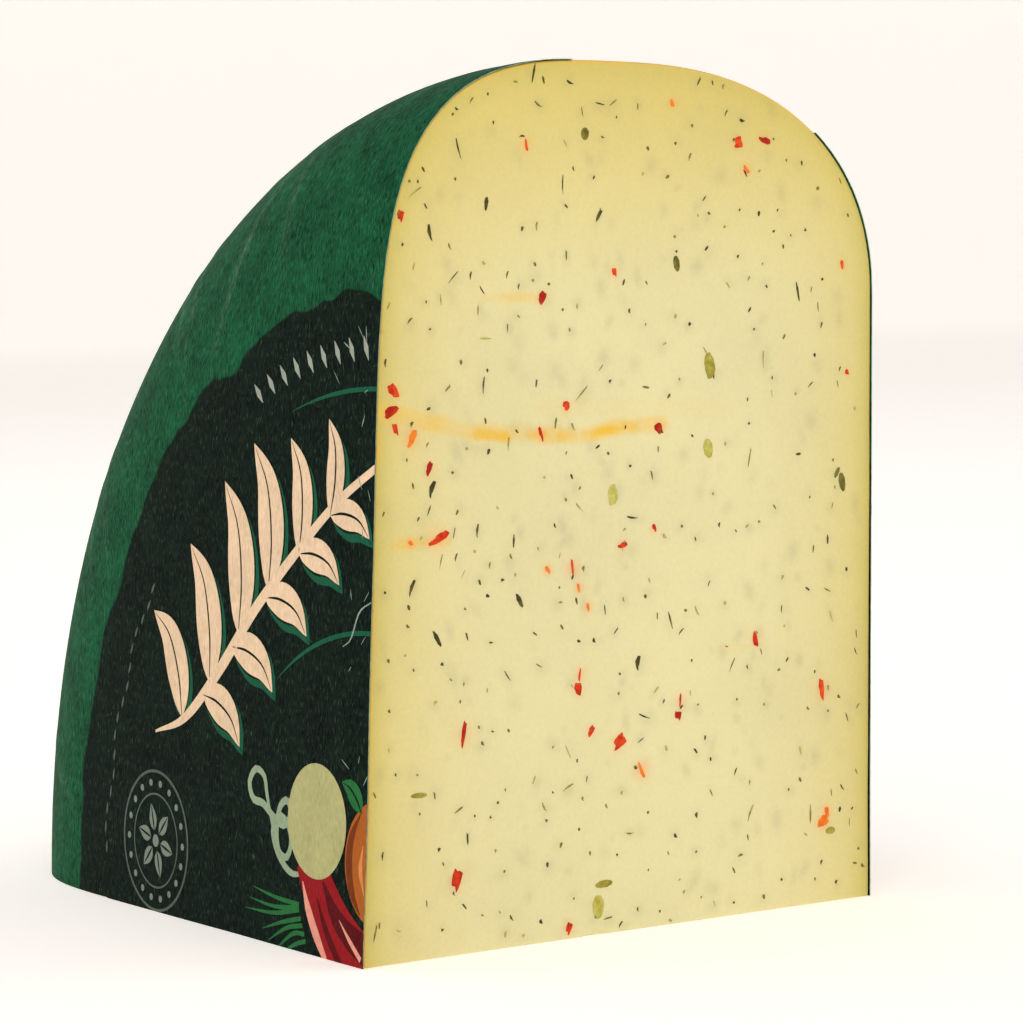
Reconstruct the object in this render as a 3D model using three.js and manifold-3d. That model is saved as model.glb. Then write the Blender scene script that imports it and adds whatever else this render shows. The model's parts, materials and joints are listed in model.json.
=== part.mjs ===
// A quarter of a round cheese wheel with herbs and red pepper, standing on one of its two cut faces.
//
// Millimetres, +Z up. The wheel's axis runs along X, so its two round sides face -X and +X and its rim
// is the curved back of the wedge. The wedge rests on one cut face, z = 0, and the other one faces -Y.
// The wheel carries two printed sheets, one on each side, both pressed over the rounded shoulders.
// The origin is under the middle of the wedge's box, on the surface that it stands on.

import * as THREE from 'three';
import { mergeVertices } from 'three/addons/utils/BufferGeometryUtils.js';
import Module from 'manifold-3d';

// The wheel that the wedge was cut from
const wheelThickness = 92;
const wheelRadius = 129.4;
const frontShoulder = 54; // how far in from the rim the front side starts to round over
const backShoulder = 35; // the same on the back side
const frontFullness = 3.4; // 2 is a plain ellipse, more is squarer
const backFullness = 2.35;
const frontTaper = 0.085; // the front side slopes back from the axis by this share of the half thickness

// The cut under the wedge isn't quite square to the wheel's sides, so the wheel leans towards +X
const cutLean = 2; // degrees

// The sheets
const sheetThickness = 0.3;
const sheetGap = 0.3; // between the rind and the back of a sheet
const frontSheetMargin = 10; // from the rim's middle line to the edge of the front sheet
const backSheetMargin = 35;

// How finely the round surfaces are divided
const turnSteps = 96;
const frontSteps = 18;
const backSteps = 12;

const front = {
  direction: -1,
  shoulder: frontShoulder,
  fullness: frontFullness,
  taper: frontTaper,
  steps: frontSteps,
};

const back = {
  direction: 1,
  shoulder: backShoulder,
  fullness: backFullness,
  taper: 0,
  steps: backSteps,
};

const wasm = await Module();
wasm.setup();

// A point on a side's rounded shoulder, moved outwards by offset: x is the radius and y is along the axis.
// At angle 0 it is on the rim's middle line, and at a quarter turn it is where the flat side starts.
function shoulderPoint(side, angle, offset) {
  const halfThickness = wheelThickness / 2;
  const cosine = Math.cos(angle);
  const sine = Math.sin(angle);
  const reach = (cosine ** side.fullness + sine ** side.fullness) ** (-1 / side.fullness);
  const outwards = cosine * reach;
  const along = sine * reach;
  const radius = wheelRadius - side.shoulder * (1 - outwards);
  const kept = 1 - (side.taper * radius) / wheelRadius;
  const point = new THREE.Vector2(radius, halfThickness * along * kept);
  const slope = along ** (side.fullness - 1) / halfThickness;
  const normal = new THREE.Vector2(
    (outwards ** (side.fullness - 1) / side.shoulder) * kept +
      (slope * halfThickness * along * side.taper) / wheelRadius,
    slope,
  );
  point.addScaledVector(normal.normalize(), offset);
  point.y *= side.direction;
  return point;
}

// The angle at which a side's shoulder is this far from the rim's middle line
function angleAt(side, distance) {
  let low = 0;
  let high = Math.PI / 2;
  for (let halving = 0; halving < 40; halving += 1) {
    const angle = (low + high) / 2;
    if (Math.abs(shoulderPoint(side, angle, 0).y) < distance) low = angle;
    else high = angle;
  }
  return low;
}

// A side's outline from startAngle to the wheel's axis. Every outline of a side has its points at the same
// angles, so the flat facets of a sheet lie along those of the wheel. The last part, in to the axis, is straight.
function sideOutline(side, startAngle, offset) {
  const points = [shoulderPoint(side, startAngle, offset)];
  for (let step = 1; step <= side.steps; step += 1) {
    const angle = ((Math.PI / 2) * step) / side.steps;
    if (angle > startAngle) points.push(shoulderPoint(side, angle, offset));
  }
  const axisEnd = new THREE.Vector2(0, (wheelThickness / 2 + offset) * side.direction);
  points.push(axisEnd);
  return points;
}

// Turns a closed geometry into a solid, without the empty triangles at the lathe's poles
function solidFrom(geometry) {
  geometry.deleteAttribute('normal');
  geometry.deleteAttribute('uv');
  const merged = mergeVertices(geometry);
  const index = merged.index.array;
  const triangles = [];
  for (let first = 0; first < index.length; first += 3) {
    const [a, b, c] = index.slice(first, first + 3);
    if (a !== b && b !== c && c !== a) triangles.push(a, b, c);
  }
  return new wasm.Manifold(
    new wasm.Mesh({
      numProp: 3,
      vertProperties: new Float32Array(merged.attributes.position.array),
      triVerts: new Uint32Array(triangles),
    }),
  );
}

// Spins an outline about the wheel's axis and leans it as the wheel leans. An outline starts on the axis
// at the front side, or nearest to it, and ends on the axis.
function spun(outline) {
  const geometry = new THREE.LatheGeometry(outline, turnSteps);
  geometry.rotateZ(-Math.PI / 2);
  geometry.rotateY(THREE.MathUtils.degToRad(cutLean));
  return solidFrom(geometry);
}

// Everything that the two cuts leave: a block above z = 0 and behind y = 0, larger than the wheel
function quarterBlock() {
  const size = 2 * (wheelRadius + wheelThickness);
  const block = new THREE.BoxGeometry(size, size, size);
  block.translate(0, size / 2, size / 2);
  return solidFrom(block);
}

function wholeWheel() {
  const axisToRim = sideOutline(front, 0, 0).reverse();
  const rimToAxis = sideOutline(back, 0, 0).slice(1);
  return spun([...axisToRim, ...rimToAxis]);
}

// A sheet lying on one side of the wheel, from the axis to its margin on the rim
function wholeSheet(side, margin) {
  const edgeAngle = angleAt(side, margin);
  const outer = sideOutline(side, edgeAngle, sheetGap + sheetThickness);
  const inner = sideOutline(side, edgeAngle, sheetGap);
  const [axisToRim, rimToAxis] = side === front ? [outer, inner] : [inner, outer];
  return spun([...axisToRim.reverse(), ...rimToAxis]);
}

function quarterMesh(name, whole, look) {
  const mesh = whole.intersect(quarterBlock()).getMesh();
  const geometry = new THREE.BufferGeometry();
  geometry.setAttribute('position', new THREE.BufferAttribute(mesh.vertProperties, 3));
  geometry.setIndex(new THREE.BufferAttribute(mesh.triVerts, 1));
  const piece = new THREE.Mesh(geometry, new THREE.MeshStandardMaterial(look));
  piece.name = name;
  return piece;
}

const wedge = new THREE.Group();
wedge.add(
  quarterMesh('cheese_wedge', wholeWheel(), { color: 0xe8dfa5, roughness: 0.45, metalness: 0 }),
  quarterMesh('front_label', wholeSheet(front, frontSheetMargin), {
    color: 0x1f3d33,
    roughness: 0.6,
    metalness: 0,
  }),
  quarterMesh('back_label', wholeSheet(back, backSheetMargin), {
    color: 0x1f5a40,
    roughness: 0.6,
    metalness: 0,
  }),
);

// The origin goes under the middle of the box
const box = new THREE.Box3().setFromObject(wedge);
const middle = box.getCenter(new THREE.Vector3());
wedge.position.set(-middle.x, -middle.y, -box.min.z);

export default wedge;
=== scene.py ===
import json
import math
import random

import bpy
import numpy as np
from mathutils import Matrix, Vector

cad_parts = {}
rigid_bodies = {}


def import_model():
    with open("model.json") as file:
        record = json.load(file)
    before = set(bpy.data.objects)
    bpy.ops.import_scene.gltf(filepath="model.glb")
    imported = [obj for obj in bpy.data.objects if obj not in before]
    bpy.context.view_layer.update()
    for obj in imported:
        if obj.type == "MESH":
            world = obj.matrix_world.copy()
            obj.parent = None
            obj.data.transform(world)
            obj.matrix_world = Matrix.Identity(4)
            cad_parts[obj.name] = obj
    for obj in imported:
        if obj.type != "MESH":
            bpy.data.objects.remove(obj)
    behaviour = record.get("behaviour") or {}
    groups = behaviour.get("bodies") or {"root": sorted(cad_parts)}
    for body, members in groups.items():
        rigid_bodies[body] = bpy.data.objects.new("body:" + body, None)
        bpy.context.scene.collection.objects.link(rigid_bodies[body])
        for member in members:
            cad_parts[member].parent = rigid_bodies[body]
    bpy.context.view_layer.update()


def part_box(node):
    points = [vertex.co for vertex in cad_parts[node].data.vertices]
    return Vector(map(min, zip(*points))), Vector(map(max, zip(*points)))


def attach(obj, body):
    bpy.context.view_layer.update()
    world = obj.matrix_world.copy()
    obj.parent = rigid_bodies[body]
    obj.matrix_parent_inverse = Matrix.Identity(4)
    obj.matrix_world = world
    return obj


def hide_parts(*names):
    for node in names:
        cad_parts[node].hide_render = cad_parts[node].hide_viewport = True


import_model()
mm = 0.001

# The wheel that the wedge was cut from. Its axis runs along X, and the front sheet is on its -X side.
wheel = {
    "thickness": 92 * mm,
    "radius": 129.4 * mm,
    "frontTaper": 0.085,  # the front side slopes back from the axis by this share of the half thickness
    "frontShoulder": 54 * mm,  # how far in from the rim each side starts to round over
    "backShoulder": 35 * mm,
    "frontFullness": 3.4,  # 2 is a plain ellipse, more is squarer
    "backFullness": 2.35,
    "lean": math.radians(2),  # the wheel's top leans towards +X over the bottom cut
    "rindOut": 0.3 * mm,  # the rind fills the gap that the solids keep
    "dentDepth": 0.22 * mm,
    "dentSize": 34 * mm,
}

wedgeLow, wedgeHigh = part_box("cheese_wedge")
axisX = wedgeLow[0] + wheel["thickness"] / 2 / math.cos(wheel["lean"])
axisY = wedgeLow[1]
axisZ = wedgeLow[2]
axisPoint = np.array([axisX, axisY, axisZ])


def selectNothing():
    bpy.ops.object.select_all(action="DESELECT")


def selectOnly(piece):
    selectNothing()
    piece.select_set(True)
    bpy.context.view_layer.objects.active = piece


def nameNew(name):
    piece = bpy.context.active_object
    piece.name = name
    piece.data.name = name
    return piece


def applyModifier(piece, kind, **settings):
    selectOnly(piece)
    bpy.ops.object.modifier_add(type=kind)
    modifier = piece.modifiers[-1]
    for key, value in settings.items():
        setattr(modifier, key, value)
    bpy.ops.object.modifier_apply(modifier=modifier.name)


def getPlaces(piece):
    places = np.empty(len(piece.data.vertices) * 3, np.float32)
    piece.data.vertices.foreach_get("co", places)
    return places.reshape(-1, 3).astype(float)


def setPlaces(piece, places):
    piece.data.vertices.foreach_set("co", np.asarray(places, np.float32).ravel())
    piece.data.update()


def setValues(piece, name, values):
    layer = piece.data.attributes.new(name, "FLOAT", "POINT")
    layer.data.foreach_set("value", np.asarray(values, np.float32).ravel())


# Runs a mesh operator on a whole piece
def editWhole(piece, operate, **settings):
    selectOnly(piece)
    bpy.ops.object.mode_set(mode="EDIT")
    bpy.ops.mesh.select_all(action="SELECT")
    operate(**settings)
    bpy.ops.object.mode_set(mode="OBJECT")


# Cuts a piece with a plane and keeps the side that the normal points to
def cutOff(piece, point, normal):
    editWhole(piece, bpy.ops.mesh.bisect, plane_co=point, plane_no=normal, clear_inner=True)


def smoothBelow(piece, degrees):
    selectOnly(piece)
    bpy.ops.object.shade_smooth_by_angle(angle=math.radians(degrees))


def addGrid(name, xSteps, ySteps):
    selectNothing()
    bpy.ops.mesh.primitive_grid_add(x_subdivisions=xSteps, y_subdivisions=ySteps, size=2)
    piece = nameNew(name)
    return piece, getPlaces(piece)


def smoothStep(low, high, values):
    share = np.clip((values - low) / (high - low), 0, 1)
    return share * share * (3 - 2 * share)


# Smooth waves from -1 to 1 that repeat about every size
def softNoise(points, size, seed):
    draw = np.random.default_rng(seed)
    total = 0
    for _ in range(7):
        direction = draw.normal(size=3)
        direction *= draw.uniform(0.6, 1.6) / np.linalg.norm(direction)
        total = total + np.sin(points @ direction * (2 * math.pi / size) + draw.uniform(0, 6.3))
    return np.clip(total / 4.5, -1, 1)


def toWheel(points):
    x, y, z = np.moveaxis(points - axisPoint, -1, 0)
    c, s = math.cos(wheel["lean"]), math.sin(wheel["lean"])
    return np.stack([c * x - s * z, y, s * x + c * z], -1)


def fromWheel(own):
    x, y, z = np.moveaxis(own, -1, 0)
    c, s = math.cos(wheel["lean"]), math.sin(wheel["lean"])
    return np.stack([c * x + s * z, y, c * z - s * x], -1) + axisPoint


def shoulderOf(isFront):
    shoulder = np.where(isFront, wheel["frontShoulder"], wheel["backShoulder"])
    fullness = np.where(isFront, wheel["frontFullness"], wheel["backFullness"])
    taper = np.where(isFront, wheel["frontTaper"], 0.0)
    return shoulder, fullness, taper


# How far points are outside the wheel, grown all round by grow: less than zero is inside
def rindDistance(points, grow=0.0):
    own = toWheel(points)
    shoulder, fullness, taper = shoulderOf(own[..., 0] < 0)
    radius = np.hypot(own[..., 1], own[..., 2])
    kept = np.maximum(1 - taper * radius / wheel["radius"], 0.5)
    halfWide, deep = wheel["thickness"] / 2 * kept + grow, shoulder + grow
    across = np.abs(own[..., 0]) / halfWide
    outwards = np.maximum(radius - wheel["radius"] + shoulder, 0) / deep
    level = np.maximum((across ** fullness + outwards ** fullness) ** (1 / fullness), 1e-6)
    slopeAcross = (across / level) ** (fullness - 1) / halfWide
    slopeOut = (outwards / level) ** (fullness - 1) / deep
    slopeOut = slopeOut + slopeAcross * across * taper * wheel["thickness"] / 2 / wheel["radius"]
    return (level - 1) / np.maximum(np.hypot(slopeAcross, slopeOut), 1e-6)


def rindNormal(points):
    step = 0.05 * mm
    slopes = [rindDistance(points + np.eye(3)[i] * step) - rindDistance(points - np.eye(3)[i] * step)
              for i in range(3)]
    slopes = np.stack(slopes, -1)
    return slopes / np.maximum(np.linalg.norm(slopes, axis=-1, keepdims=True), 1e-12)


# How deep the wheel's outside is pressed in here
def dent(points):
    return wheel["dentDepth"] * (0.5 + 0.5 * softNoise(points, wheel["dentSize"], 5))


# A side's outline from the axis to the rim's middle line: length so far, radius, place along axis, normal
def sideProfile(isFront):
    shoulder, fullness, taper = shoulderOf(isFront)
    angle = np.linspace(math.pi / 2, 0, 3000)
    cosine, sine = np.maximum(np.cos(angle), 0), np.sin(angle)
    reach = (cosine ** fullness + sine ** fullness) ** (-1 / fullness)
    outwards, along = cosine * reach, sine * reach
    halfWide, rim = wheel["thickness"] / 2, wheel["radius"]
    radius = rim - shoulder * (1 - outwards)
    kept = 1 - taper * radius / rim
    slope = along ** (fullness - 1) / halfWide
    slopeOut = outwards ** (fullness - 1) / shoulder * kept + slope * halfWide * along * taper / rim
    normal = np.stack([slopeOut, slope])
    normal /= np.hypot(*normal)
    radius = np.concatenate([[0], radius])
    place = np.concatenate([[halfWide], halfWide * along * kept])
    normal = np.concatenate([normal[:, :1], normal], 1)
    length = np.concatenate([[0], np.cumsum(np.hypot(np.diff(radius), np.diff(place)))])
    return np.stack([length, radius, place, normal[0], normal[1]])


profiles = {True: sideProfile(True), False: sideProfile(False)}


# Lays flat sheet places on a side of the wheel: away from the upright cut and up from the axis
def wrap(isFront, away, up, offset):
    length, turn = np.hypot(away, up), np.arctan2(up, away)
    lengths, *columns = profiles[isFront]
    radius, place, normalOut, normalAlong = [np.interp(length, lengths, column) for column in columns]
    out = radius + normalOut * offset
    along = (place + normalAlong * offset) * (-1 if isFront else 1)
    points = fromWheel(np.stack([along, out * np.cos(turn), out * np.sin(turn)], -1))
    return points - rindNormal(points) * dent(points)[..., None] * [1, 1, 0]


view = {
    "azimuth": math.radians(-33.45),  # 0 looks along +Y
    "elevation": math.radians(3.65),
    "roll": math.radians(-1.69),
    "distance": 604 * mm,
    "target": np.array([-0.4, 27.6, 62.0]) * mm,  # from the axis at the front cut
    "lens": 137.5,
}

studio = {
    "floorColor": (0.968, 0.935, 0.912, 1),
    "glowColor": (1.0, 0.965, 0.9, 1),
    "glow": 0.36,
    "skyColor": (1.0, 0.985, 0.965, 1),
    "skyStrength": 0.405,
    "floorRadius": 5.0,
    "sweepRadius": 1.5,
    "wallHeight": 1.5,
    "lamps": [  # place, aimed at the wedge, width, power, color
        ((-0.9, -1.3, 1.5), 1.3, 7.6, (1, 1, 1)),
        ((1.3, -1.1, 1.0), 1.2, 4.7, (1, 1, 1)),
        ((-0.3, 0.9, 1.7), 1.4, 6.2, (1, 1, 1)),
    ],
}


def placeCamera():
    turn, rise, roll = view["azimuth"], view["elevation"], view["roll"]
    back = Vector((math.sin(turn) * math.cos(rise), -math.cos(turn) * math.cos(rise), math.sin(rise)))
    right = Vector((0, 0, 1)).cross(back).normalized()
    up = back.cross(right)
    rolledRight = math.cos(roll) * right + math.sin(roll) * up
    rolledUp = math.cos(roll) * up - math.sin(roll) * right
    camera = bpy.data.objects.new("camera", bpy.data.cameras.new("camera"))
    bpy.context.scene.collection.objects.link(camera)
    turned = Matrix((rolledRight, rolledUp, back)).transposed().to_4x4()
    place = Vector(view["target"] + axisPoint) + back * view["distance"]
    camera.matrix_world = Matrix.Translation(place) @ turned
    camera.data.lens = view["lens"]
    camera.data.sensor_width = 36
    bpy.context.scene.camera = camera


def placeLamps():
    middle = Vector((0, 0, 0.06))
    for number, (place, width, power, color) in enumerate(studio["lamps"]):
        lamp = bpy.data.lights.new(f"softbox{number + 1}", "AREA")
        lamp.shape = "SQUARE"
        lamp.size = width
        lamp.energy = power
        lamp.color = color
        holder = bpy.data.objects.new(lamp.name, lamp)
        holder.location = place
        holder.visible_camera = False
        holder.rotation_euler = (middle - Vector(place)).to_track_quat("-Z", "Y").to_euler()
        bpy.context.scene.collection.objects.link(holder)


def makeSky():
    sky = bpy.data.worlds.new("sky")
    sky.use_nodes = True
    background = sky.node_tree.nodes["Background"]
    background.inputs["Color"].default_value = studio["skyColor"]
    background.inputs["Strength"].default_value = studio["skyStrength"]
    bpy.context.scene.world = sky


# A round floor that sweeps up into a wall all round
def makeFloor():
    selectNothing()
    bpy.ops.mesh.primitive_circle_add(vertices=96, radius=studio["floorRadius"], fill_type="NGON")
    floor = nameNew("studioFloor")
    bpy.ops.object.mode_set(mode="EDIT")
    bpy.ops.mesh.select_all(action="SELECT")
    sweep, steps = studio["sweepRadius"], 12
    width = studio["floorRadius"]
    for step in range(1, steps + 1):
        turns = [math.pi / 2 * number / steps for number in (step - 1, step)]
        out = sweep * (math.sin(turns[1]) - math.sin(turns[0]))
        rise = sweep * (math.cos(turns[0]) - math.cos(turns[1]))
        if step == 1:
            bpy.ops.mesh.region_to_loop()
        bpy.ops.mesh.extrude_edges_move(TRANSFORM_OT_translate={"value": (0, 0, rise)})
        wider = (width + out) / width
        bpy.ops.transform.resize(value=(wider, wider, 1), center_override=(0, 0, 0))
        width += out
    bpy.ops.mesh.extrude_edges_move(TRANSFORM_OT_translate={"value": (0, 0, studio["wallHeight"])})
    bpy.ops.mesh.select_all(action="SELECT")
    bpy.ops.mesh.normals_make_consistent(inside=True)
    bpy.ops.object.mode_set(mode="OBJECT")
    bpy.ops.object.shade_smooth()
    material, _, _ = newMaterial("palePaper", {
        "Base Color": studio["floorColor"], "Roughness": 0.9, "Specular IOR Level": 0.1,
        "Emission Color": studio["glowColor"], "Emission Strength": studio["glow"]})
    floor.data.materials.append(material)


cheese = {
    "frontInset": 0.1 * mm,  # how far the upright cut is behind the solid's, leaving room for the flakes
    "bottomInset": 0.03 * mm,
    "edgeRound": 0.35 * mm,
    "nearEdge": [0.12, 0.28, 0.5, 0.8, 1.25, 1.9],  # mm, rows that follow each cut's edge
    "sectionMiddle": 60 * mm,  # from the corner line
    "baseColumns": 104,
    "rindColumns": 366,
    "frontStep": 0.62 * mm,
    "bottomStep": 2.2 * mm,
    "rindStep": math.radians(1.8),
    "waveDepth": 0.16 * mm,
    "waveSize": 46 * mm,
    "nicks": [  # across, height and size in mm, on the upright cut's edge
        (-5.9, 0.2, 1.0), (-7.2, -0.2, 1.0), (-4.4, -0.3, 1.1), (31.0, -0.5, 0.9),
        (-47.2, 75.4, 0.9), (-47.1, 77.3, 0.7), (-46.0, 8.0, 0.5),
    ],
}


# A point in the half plane through the corner line: turn 0 is the bottom cut, a quarter turn the upright one
def sectionPoint(across, out, turn):
    return np.stack(np.broadcast_arrays(axisX + across, axisY + out * np.cos(turn),
                                        axisZ + out * np.sin(turn)), -1)


# How far the outline is from the section's middle in this direction
def outlineHit(sideways, upwards, turn):
    near = np.zeros(np.broadcast(sideways, turn).shape)
    far = np.full(near.shape, 2 * wheel["radius"])
    for _ in range(26):
        middle = (near + far) / 2
        points = sectionPoint(sideways * middle, cheese["sectionMiddle"] + upwards * middle, turn)
        outside = rindDistance(points, wheel["rindOut"]) > 0
        far = np.where(outside, middle, far)
        near = np.where(outside, near, middle)
    return near


# Each column on the upright cut's outline: first along the base from right to left, then round the rind
def columnEnds():
    upright = math.pi / 2
    halfBase = (wheel["thickness"] / 2 + wheel["rindOut"]) / math.cos(wheel["lean"])
    base = np.linspace(halfBase, -halfBase, cheese["baseColumns"] + 1)
    corner = math.atan2(-cheese["sectionMiddle"], -halfBase) % (2 * math.pi)
    angle = np.linspace(corner, -math.pi - corner + 2 * math.pi, 6000)
    reach = outlineHit(np.cos(angle), np.sin(angle), upright)
    across, out = reach * np.cos(angle), cheese["sectionMiddle"] + reach * np.sin(angle)
    length = np.concatenate([[0], np.cumsum(np.hypot(np.diff(across), np.diff(out)))])
    even = np.interp(np.linspace(0, length[-1], cheese["rindColumns"] + 1), length, angle)[1:-1]
    return base, even


# How far points are outside the wedge, with its cut edges rounded and its nicks taken out
def wedgeDistance(points):
    edge = cheese["edgeRound"]
    walls = np.stack([
        rindDistance(points, wheel["rindOut"]),
        axisY + cheese["frontInset"] - points[..., 1],
        axisZ + cheese["bottomInset"] - points[..., 2],
    ], -1)
    inner = np.maximum(walls + edge, 0)
    distance = np.where(inner.any(-1), np.linalg.norm(inner, axis=-1) - edge, walls.max(-1))
    for across, height, size in cheese["nicks"]:
        middle = axisPoint + np.array([across, -0.2, height]) * mm
        distance = np.maximum(distance, size * mm - np.linalg.norm(points - middle, axis=-1))
    return distance


# How far the upright cut is behind a flat one
def frontWave(across, height):
    places = np.stack(np.broadcast_arrays(across, 0 * across, height), -1)
    wide = 0.5 + 0.5 * softNoise(places, cheese["waveSize"], 11)
    drag = 0.5 + 0.5 * softNoise(places * [0.25, 1, 1], 7 * mm, 12)  # where the wire dragged
    return cheese["waveDepth"] * (0.75 * wide + 0.25 * drag)


# Rows of points from the upright cut's middle over its edge, round the rind and under the bottom cut
def targetGrid():
    base, rindAngles = columnEnds()
    middle = cheese["sectionMiddle"]
    nearEdge = np.array(cheese["nearEdge"]) * mm
    upright = math.pi / 2
    turns = np.concatenate([
        upright - nearEdge / wheel["radius"],
        np.arange(upright - 0.03, 0.03, -cheese["rindStep"]),
        (nearEdge / wheel["radius"])[::-1],
    ])
    turns = np.concatenate([[upright], turns, [0]])
    reach = outlineHit(np.cos(rindAngles), np.sin(rindAngles), turns[:, None])
    rind = sectionPoint(reach * np.cos(rindAngles), middle + reach * np.sin(rindAngles), turns[:, None])
    baseLine = np.broadcast_to(sectionPoint(base, 0 * base, 0), (len(turns), len(base), 3))
    rim = np.concatenate([baseLine, rind], 1)

    def cutRows(edgeRow, heart, step):
        longest = np.linalg.norm(edgeRow - heart, axis=-1)
        shares = []
        inner = np.arange(longest.max() - 1e-6, 2.6 * mm, -step)[::-1]
        for inset in np.concatenate([nearEdge, inner]):
            flat = np.minimum(inset / longest.max(), 1)
            sharp = np.minimum(inset / longest, 1)
            blend = smoothStep(0, 0.25, flat)
            shares.append(sharp * (1 - blend) + flat * blend)
        shares = np.sort(np.array(shares), 0)[:, :, None]
        return edgeRow * (1 - shares) + heart * shares

    upHeart = sectionPoint(0.0, middle, upright)
    lowHeart = sectionPoint(0.0, middle, 0.0)
    frontRows = cutRows(rim[0], upHeart, cheese["frontStep"])[::-1]
    lowRows = cutRows(rim[-1], lowHeart, cheese["bottomStep"])
    return np.concatenate([frontRows, rim, lowRows]), upHeart, lowHeart


# Moves points on the sharp wedge to its rounded, dented surface
def shapeCheese(points):
    heart = fromWheel(np.array([0, 45, 45]) * mm)
    arm = points - heart
    near, far = np.full(points.shape[:-1], 0.6), np.full(points.shape[:-1], 1.1)
    for _ in range(19):
        middle = (near + far) / 2
        outside = wedgeDistance(heart + arm * middle[..., None]) > 0
        far = np.where(outside, middle, far)
        near = np.where(outside, near, middle)
    points = heart + arm * near[..., None]
    rindShare = 1 - smoothStep(0, 2.5 * mm, -rindDistance(points, wheel["rindOut"]))
    frontShare = 1 - smoothStep(0.1 * mm, 1.5 * mm, points[..., 1] - axisY)
    low = smoothStep(0, 1 * mm, points[..., 2] - axisZ)
    points = points - rindNormal(points) * (dent(points) * rindShare)[..., None] * [1, 1, 0]
    wave = frontWave(points[..., 0] - axisX, points[..., 2] - axisZ)
    points[..., 1] += wave * frontShare * (0.3 + 0.7 * low)
    points[..., 2] = np.maximum(points[..., 2], axisZ + cheese["bottomInset"])
    return points


def makeCheese():
    rows, upHeart, lowHeart = targetGrid()
    count, columns = rows.shape[:2]
    body, flat = addGrid("cheeseWedge", columns, count + 1)
    turn = np.round((flat[:, 0] + 1) / 2 * columns).astype(int) % columns
    row = np.round((flat[:, 1] + 1) / 2 * (count + 1)).astype(int)
    grid = np.concatenate([np.broadcast_to(upHeart, (1, columns, 3)), rows,
                           np.broadcast_to(lowHeart, (1, columns, 3))])
    setPlaces(body, shapeCheese(grid[row, turn]))
    editWhole(body, bpy.ops.mesh.remove_doubles, threshold=0.03 * mm)
    editWhole(body, bpy.ops.mesh.normals_make_consistent, inside=False)
    smoothBelow(body, 50)
    return body


# An sRGB color as the shaders want it
def paint(red, green, blue):
    shares = np.array([red, green, blue]) / 255
    curve = np.where(shares < 0.0405, shares / 12.92, ((shares + 0.055) / 1.055) ** 2.4)
    return (*map(float, curve), 1)


def setInputs(tree, node, inputs):
    for name, value in inputs.items():
        if isinstance(value, bpy.types.NodeSocket):
            tree.links.new(value, node.inputs[name])
        else:
            node.inputs[name].default_value = value


def addNode(tree, kind, inputs=None, **settings):
    node = tree.nodes.new("ShaderNode" + kind)
    for key, value in settings.items():
        setattr(node, key, value)
    setInputs(tree, node, inputs or {})
    return node


def calc(tree, operation, first, second=0.5, third=0.5):
    return addNode(tree, "Math", {0: first, 1: second, 2: third}, operation=operation).outputs[0]


def mixColors(tree, factor, first, second):
    names = {0: factor, 6: first, 7: second}
    return addNode(tree, "Mix", names, data_type="RGBA").outputs[2]


def ramp(tree, value, low, high, toLow=0.0, toHigh=1.0):
    names = {"Value": value, "From Min": low, "From Max": high, "To Min": toLow, "To Max": toHigh}
    return addNode(tree, "MapRange", names, interpolation_type="SMOOTHSTEP").outputs[0]


def noise(tree, place, scale, detail=3.0, rough=0.55):
    names = {"Vector": place, "Scale": scale, "Detail": detail, "Roughness": rough}
    return addNode(tree, "TexNoise", names).outputs[0]


# Places pushed about by a noise
def warp(tree, place, scale, detail, amount):
    push = addNode(tree, "TexNoise", {"Vector": place, "Scale": scale, "Detail": detail}).outputs["Color"]
    pushed = {0: place, 1: brighten(tree, push, amount)}
    return addNode(tree, "VectorMath", pushed, operation="ADD").outputs[0]


def stretch(tree, place, amounts):
    return addNode(tree, "VectorMath", {0: place, 1: amounts}, operation="MULTIPLY").outputs[0]


def brighten(tree, color, amount):
    return addNode(tree, "VectorMath", {0: color, "Scale": amount}, operation="SCALE").outputs[0]


def readValue(tree, name):
    return addNode(tree, "Attribute", attribute_name=name).outputs["Fac"]


# A color for each value from 0 to 1, given as (value, color) from low to high
def colorBands(tree, value, bands):
    node = addNode(tree, "ValToRGB", {0: value})
    steps = node.color_ramp.elements
    for number, (position, color) in enumerate(bands):
        if number == len(steps):
            steps.new(position)
        steps[number].position = position
        steps[number].color = paint(*color)
    return node.outputs[0]


def newGroup(name, inputs, outputs):
    group = bpy.data.node_groups.new(name, "ShaderNodeTree")
    for label, kind, value in inputs:
        socket = group.interface.new_socket(label, in_out="INPUT", socket_type="NodeSocket" + kind)
        if value is not None:
            socket.default_value = value
    for label, kind in outputs:
        group.interface.new_socket(label, in_out="OUTPUT", socket_type="NodeSocket" + kind)
    return group, group.nodes.new("NodeGroupInput").outputs, group.nodes.new("NodeGroupOutput").inputs


def placeGroup(tree, group, inputs):
    return addNode(tree, "Group", inputs, node_tree=group).outputs


def newMaterial(name, finish):
    material = bpy.data.materials.new(name)
    material.use_nodes = True
    shader = material.node_tree.nodes["Principled BSDF"]
    setInputs(material.node_tree, shader, finish)
    return material, material.node_tree, shader


def addBump(tree, shader, height, distance, strength=1.0):
    names = {"Height": height, "Distance": distance, "Strength": strength}
    tree.links.new(addNode(tree, "Bump", names).outputs[0], shader.inputs["Normal"])


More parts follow.
